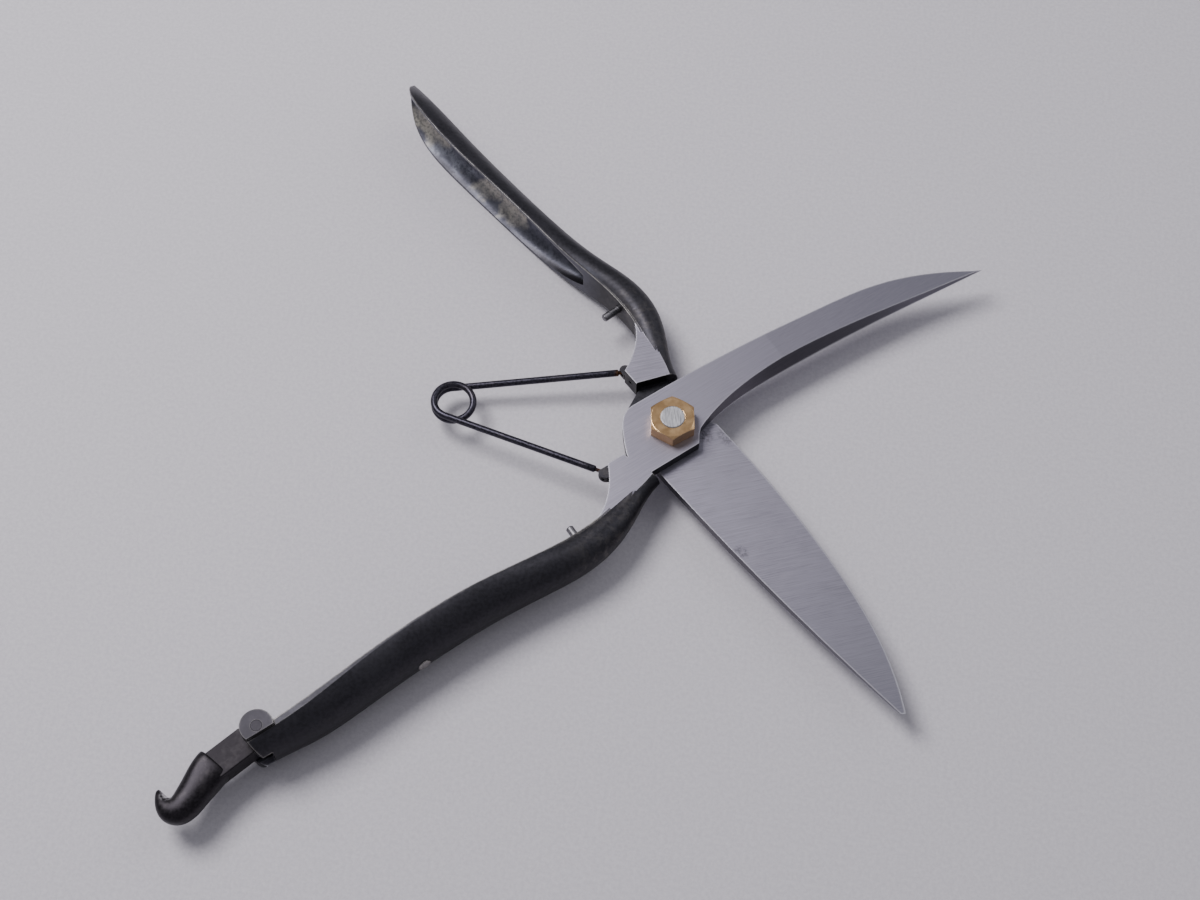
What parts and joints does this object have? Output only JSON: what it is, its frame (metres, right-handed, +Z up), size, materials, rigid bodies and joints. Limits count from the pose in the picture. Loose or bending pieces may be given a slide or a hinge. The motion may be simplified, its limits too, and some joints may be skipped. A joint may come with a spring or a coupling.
{
  "type": "topiary shears",
  "caption": "Hand-held topiary shears: wide blade and curved counter blade crossing on a nutted bolt, torsion spring, dished forged handles and a swinging end latch.",
  "frame": {"origin": "on the pivot bolt's axis, on the flat face of the bolt's head that the shears lie on", "axes": "+Z up along the bolt towards the nut, +X along the centre line of the open shears towards the blades, +Y towards the wide-blade half's handle"},
  "size_m": [0.2296, 0.2792, 0.022],
  "materials": {
    "forged_wide_half": "ground and scratched steel blade and shoulder, black forge scale on the handle, worn bright on its ridge",
    "forged_hook_half": "ground steel blade with a dark bevel, black forge scale on the handle, worn specks along its ridge",
    "bolt_steel": "filed bright end, dull flanks",
    "nut_brass": "tarnished brass with rubbed flats",
    "stud_steel": "dull plain steel",
    "spring_wire": "blued spring steel",
    "latch_steel": "black-brown forged surface with a rubbed bright throat"
  },
  "bodies": {
    "wide_half": {"wide_blade_half": "forged_wide_half", "pivot_bolt": "bolt_steel", "pivot_nut": "nut_brass", "upper_stud": "stud_steel"},
    "hook_half": {"hook_blade_half": "forged_hook_half", "lower_stud": "stud_steel", "latch_pin": "stud_steel", "latch_leaf_spring": "spring_wire", "leaf_spring_rivet": "stud_steel"},
    "upper_leg": {"spring_upper_leg": "spring_wire"},
    "lower_leg": {"spring_lower_leg": "spring_wire"},
    "latch": {"latch_hook": "latch_steel"}
  },
  "joints": [
    {"name": "pivot", "type": "hinge", "parent": "wide_half", "child": "hook_half", "pos_m": [0, 0, 0.011], "axis": [0, 0, -1], "range_deg": [-6, 86.5], "stiffness_Nm_per_rad": 0.3},
    {"name": "latch", "type": "hinge", "parent": "hook_half", "child": "latch", "pos_m": [-0.10688, -0.12457, 0.011], "axis": [0, 0, -1], "range_deg": [0, 83]},
    {"name": "upper_leg_turn", "type": "hinge", "parent": "wide_half", "child": "upper_leg", "pos_m": [-0.01857, 0.01966, 0.011], "axis": [0, 0, -1], "range_deg": [-4.3, 61.1]},
    {"name": "lower_leg_turn", "type": "hinge", "parent": "upper_leg", "child": "lower_leg", "pos_m": [-0.0728, 0, 0.011], "axis": [0, 0, 1], "range_deg": [-2.6, 36.3]}
  ],
  "couplings": [
    {"joint": "upper_leg_turn", "follows": "pivot", "ratio": 0.705},
    {"joint": "lower_leg_turn", "follows": "pivot", "ratio": 0.4183}
  ]
}
